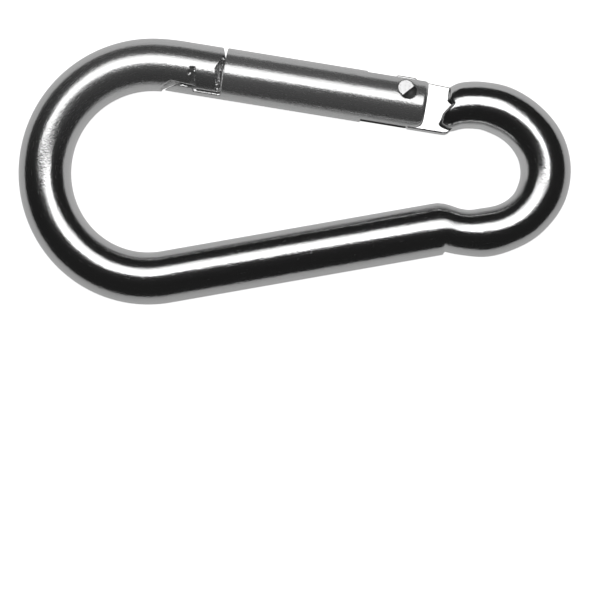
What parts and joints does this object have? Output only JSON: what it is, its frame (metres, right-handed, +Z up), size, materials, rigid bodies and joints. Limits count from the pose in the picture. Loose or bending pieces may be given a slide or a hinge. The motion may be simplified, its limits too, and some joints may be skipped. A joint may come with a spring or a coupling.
{
  "type": "spring snap hook",
  "caption": "Pear-shaped spring snap hook of bent round steel bar, with a small round eye and a sprung gate that opens inwards.",
  "frame": {"origin": "under the middle of the hook, in the plane it lies on", "axes": "+X along the hook towards the small eye, +Y towards the gate, +Z up through the flat of the hook"},
  "size_m": [0.1001, 0.0482, 0.0095],
  "materials": {
    "plated_bar": "bright zinc plate over drawn bar, slightly rippled",
    "plated_gate": "bright zinc plate with fine lines along the bar",
    "rivet_steel": "cut flat and left bright",
    "inner_steel": "turned, bare",
    "spring_wire": "smooth drawn wire"
  },
  "bodies": {
    "body": {"hook_body": "plated_bar"},
    "gate": {"gate": "plated_gate", "hinge_pin": "rivet_steel", "spring": "spring_wire"},
    "plunger": {"plunger": "inner_steel"}
  },
  "joints": [
    {"name": "gate_hinge", "type": "hinge", "parent": "body", "child": "gate", "pos_m": [0.0199, 0.01468, 0.00475], "axis": [0, 0, 1], "range_deg": [0, 33], "stiffness_Nm_per_rad": 0.06, "springref_deg": -34.38, "deforming": ["spring"]},
    {"name": "plunger_slide", "type": "slide", "parent": "gate", "child": "plunger", "axis": [-0.987, 0.1606, 0], "range_m": [0, 0.00137]}
  ],
  "couplings": [
    {"joint": "plunger_slide", "follows": "gate_hinge", "m_per_rad": 0.00235}
  ]
}
